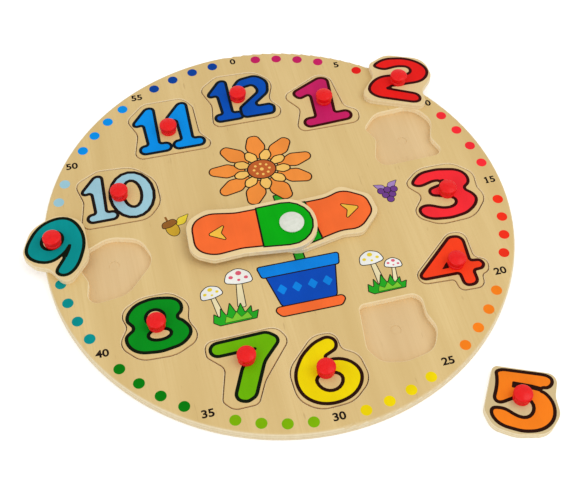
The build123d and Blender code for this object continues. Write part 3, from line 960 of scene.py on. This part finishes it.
plant = outlined("stem", [STEM], leaf_green, PICTURE_OUTLINE)
plant += outlined("petals", ring_of_petals(OUTER_PETAL, 0), petal_orange, PICTURE_OUTLINE, 1)
plant += outlined("petals", ring_of_petals(INNER_PETAL, 180 / PETALS), petal_yellow, PICTURE_OUTLINE, 2)
plant += outlined("disc", [oval(*BLOOM, *DISC_REACH)], disc_brown, PICTURE_OUTLINE, 3)
seeds = []
for k in range(SEEDS):
    x = BLOOM[0] + SEED_RING[0] * math.cos(SEED_ANGLE * k)
    y = BLOOM[1] + SEED_RING[1] * math.sin(SEED_ANGLE * k)
    seeds.append(oval(x, y, SEED_RADIUS, SEED_RADIUS))
seeds.append(oval(*BLOOM, MIDDLE_SEED_RADIUS, MIDDLE_SEED_RADIUS))
plant.append(ink_sheet("seeds", seeds, petal_yellow, level=9))
print("bloom of", 2 * PETALS, "petals and", len(seeds), "seeds")

# %% [markdown]
# The pot below it is three plain shapes: a body, a rim and a saucer, with a band of four lozenges round
# the body. Pot and bloom are pressed on the board as one print.

# %% Pot
pot_blue = ink("pot_blue", 8, 76, 188)
rim_blue = ink("rim_blue", 10, 134, 232)
POT_BODY = [(-20, -40, 1), (26, -40, 1), (20.5, -65, 4), (-14.5, -65, 4)]
POT_RIM = [(-24, -32.5, 2), (30, -32.5, 2), (28, -42, 2.5), (-22, -42, 2.5)]
SAUCER = [(-22, -63.5, 3), (28, -63.5, 3), (22, -71.5, 4), (-16, -71.5, 4)]
LOZENGE = [(-3.2, 0, 0.6), (0, 4, 0.6), (3.2, 0, 0.6), (0, -4, 0.6)]
BAND_MIDDLE = (3, -52)
BAND_PITCH = 9
BAND_STEPS = (-1.6, -0.55, 0.55, 1.6)

plant += outlined("pot_body", [POT_BODY], pot_blue, PICTURE_OUTLINE)
plant += outlined("pot_rim", [POT_RIM], rim_blue, PICTURE_OUTLINE, 1)
plant += outlined("saucer", [SAUCER], paddle_orange, PICTURE_OUTLINE, 1)
lozenges = [shifted(LOZENGE, BAND_MIDDLE[0] + BAND_PITCH * step, BAND_MIDDLE[1]) for step in BAND_STEPS]
plant.append(ink_sheet("band", lozenges, rim_blue, level=3))
press("plant_print", plant, dial_place, "board")
print("plant printed from", len(plant), "sheets")

# %% [markdown]
# ## Toadstools in the grass
# On either side of the pot, two toadstools stand in a tuft of grass. A function draws one toadstool at a
# place, a scale and a lean, so that four different ones come from one cap and one stalk.

# %% Toadstools and grass
SMALL_OUTLINE = 0.55
GRASS_OUTLINE = 0.3
cap_white = ink("cap_white", 246, 246, 240)
stalk_cream = ink("stalk_cream", 240, 226, 180)
grass_green = ink("grass_green", 36, 170, 34)
grass_light = ink("grass_light", 128, 206, 52)
spot_yellow = ink("spot_yellow", 240, 214, 60)
spot_pink = ink("spot_pink", 226, 96, 120)
CAP = [(-9.5, -1, 2.5), (-7.5, 6.5, 6), (0, 10.5, 7), (7.5, 6.5, 6), (9.5, -1, 2.5), (0, -2.6, 20)]
CAP_SPOTS = ((-4.6, 3.2, 1.4), (0.4, 6, 1.9), (4.8, 2.6, 1.3), (0.2, 1, 1))
SPOT_HEIGHT = 0.85
STALK = [(-1.9, 1, 0.3), (1.9, 1, 0.3), (2.9, -19, 1.5), (-2.9, -19, 1.5)]
TUFT = [(-15, 0, 1), (-13.5, 7, 0.5), (-10, 3.5, 0.4), (-8.5, 11, 0.5), (-5.5, 4, 0.4), (-2, 13.5, 0.5),
        (1, 5, 0.4), (5, 12, 0.5), (6.5, 4, 0.4), (11.5, 8.5, 0.5), (11, 3, 0.4), (15.5, 4, 0.5),
        (13, -2.5, 1), (-11, -3, 1)]
LOW_TUFT = [(-9, -1.6, 0.6), (-7, 3.5, 0.5), (-3.5, 1, 0.4), (0, 5.5, 0.5), (2.5, 1, 0.4), (7, 4, 0.5),
            (9.5, -1.4, 0.6)]


def toadstool(x, y, scale, turn, spot):
    """A toadstool whose cap has its middle at a point."""
    sheets = outlined("stalk", [shifted(STALK, x, y, scale, turn)], stalk_cream, SMALL_OUTLINE)
    sheets += outlined("cap", [shifted(CAP, x, y, scale, turn)], cap_white, SMALL_OUTLINE, 1)
    spots = [shifted(oval(dx, dy, size, size * SPOT_HEIGHT), x, y, scale, turn)
             for dx, dy, size in CAP_SPOTS]
    sheets.append(ink_sheet("spots", spots, spot, level=5))
    return sheets


def tuft(x, y, scale):
    """A tuft of grass with a lighter, lower one in front."""
    sheets = outlined("tuft", [shifted(TUFT, x, y, scale)], grass_green, SMALL_OUTLINE, 3)
    sheets += outlined("low_tuft", [shifted(LOW_TUFT, x + 1, y, scale)], grass_light, GRASS_OUTLINE, 4)
    return sheets


left_garden = toadstool(-36, -40, 1.0, -6, spot_pink) + toadstool(-54, -47, 0.82, 10, spot_yellow)
left_garden += tuft(-43, -66, 0.95)
right_garden = toadstool(48, -45, 0.9, 5, spot_yellow) + toadstool(60, -51, 0.66, -10, spot_pink)
right_garden += tuft(52, -66, 0.85)
press("left_garden_print", left_garden, dial_place, "board")
press("right_garden_print", right_garden, dial_place, "board")
print("gardens of", len(left_garden), "and", len(right_garden), "sheets")

# %% [markdown]
# ## Acorn and grapes
# Two small motifs stand beside the hands, in thinner lines still. Both have the same leaf. The grapes go
# on three levels in turn, so that each overlaps its neighbours as a real one does.

# %% Acorn and grapes
LEAF_OUTLINE = 0.4
NUT_OUTLINE = 0.45
nut_brown = ink("nut_brown", 150, 96, 40)
nut_yellow = ink("nut_yellow", 212, 170, 48)
plum = ink("plum", 112, 62, 140)
lilac = ink("lilac", 168, 134, 196)
LEAF = [(0, -7, 0.5), (-4, -1, 4), (0, 7.5, 0.5), (4, -1, 4)]
ACORN_CUP = [(-5.8, 0, 1.5), (-4.4, 4.6, 3), (4.4, 4.6, 3), (5.8, 0, 1.5), (0, -1.4, 8)]
ACORN_STALK = [(-0.7, 4, 0.2), (-0.4, 8, 0.3), (1, 8, 0.3), (0.7, 4, 0.2)]
ACORN_PLACE = {"dx": -69, "dy": 11, "turn": 18}
GRAPES_PLACE = (74, 3)
GRAPE_RADIUS = 2.6
GRAPE_SPOTS = ((-4.4, 4), (0, 4.4), (4.4, 4), (-2.3, 0.2), (2.3, 0.2), (0, -3.6))

acorn = outlined("leaf", [shifted(LEAF, -61, 14, 0.9, -50)], spot_yellow, LEAF_OUTLINE)
acorn += outlined("nut", [shifted(oval(0, -3, 4.4, 6), **ACORN_PLACE)], nut_yellow, NUT_OUTLINE, 1)
acorn += outlined("cup", [shifted(ACORN_CUP, **ACORN_PLACE)], nut_brown, NUT_OUTLINE, 2)
acorn.append(ink_sheet("stalk", [shifted(ACORN_STALK, **ACORN_PLACE)], nut_brown, level=3))
press("acorn_print", acorn, dial_place, "board")

grape_leaves = [shifted(LEAF, 70, 10, 0.75, 55), shifted(LEAF, 78, 11, 0.75, -55)]
grapes = outlined("leaf", grape_leaves, lilac, LEAF_OUTLINE)
for k, (dx, dy) in enumerate(GRAPE_SPOTS):
    grape = oval(GRAPES_PLACE[0] + dx, GRAPES_PLACE[1] + dy, GRAPE_RADIUS, GRAPE_RADIUS)
    grapes += outlined("grape", [grape], plum, LEAF_OUTLINE, 1 + k % 3)
press("grapes_print", grapes, dial_place, "board")
print("acorn of", len(acorn), "sheets and", len(GRAPE_SPOTS), "grapes printed")

# %% [markdown]
# ## Finish

# %% Finish
print("scene dressed")
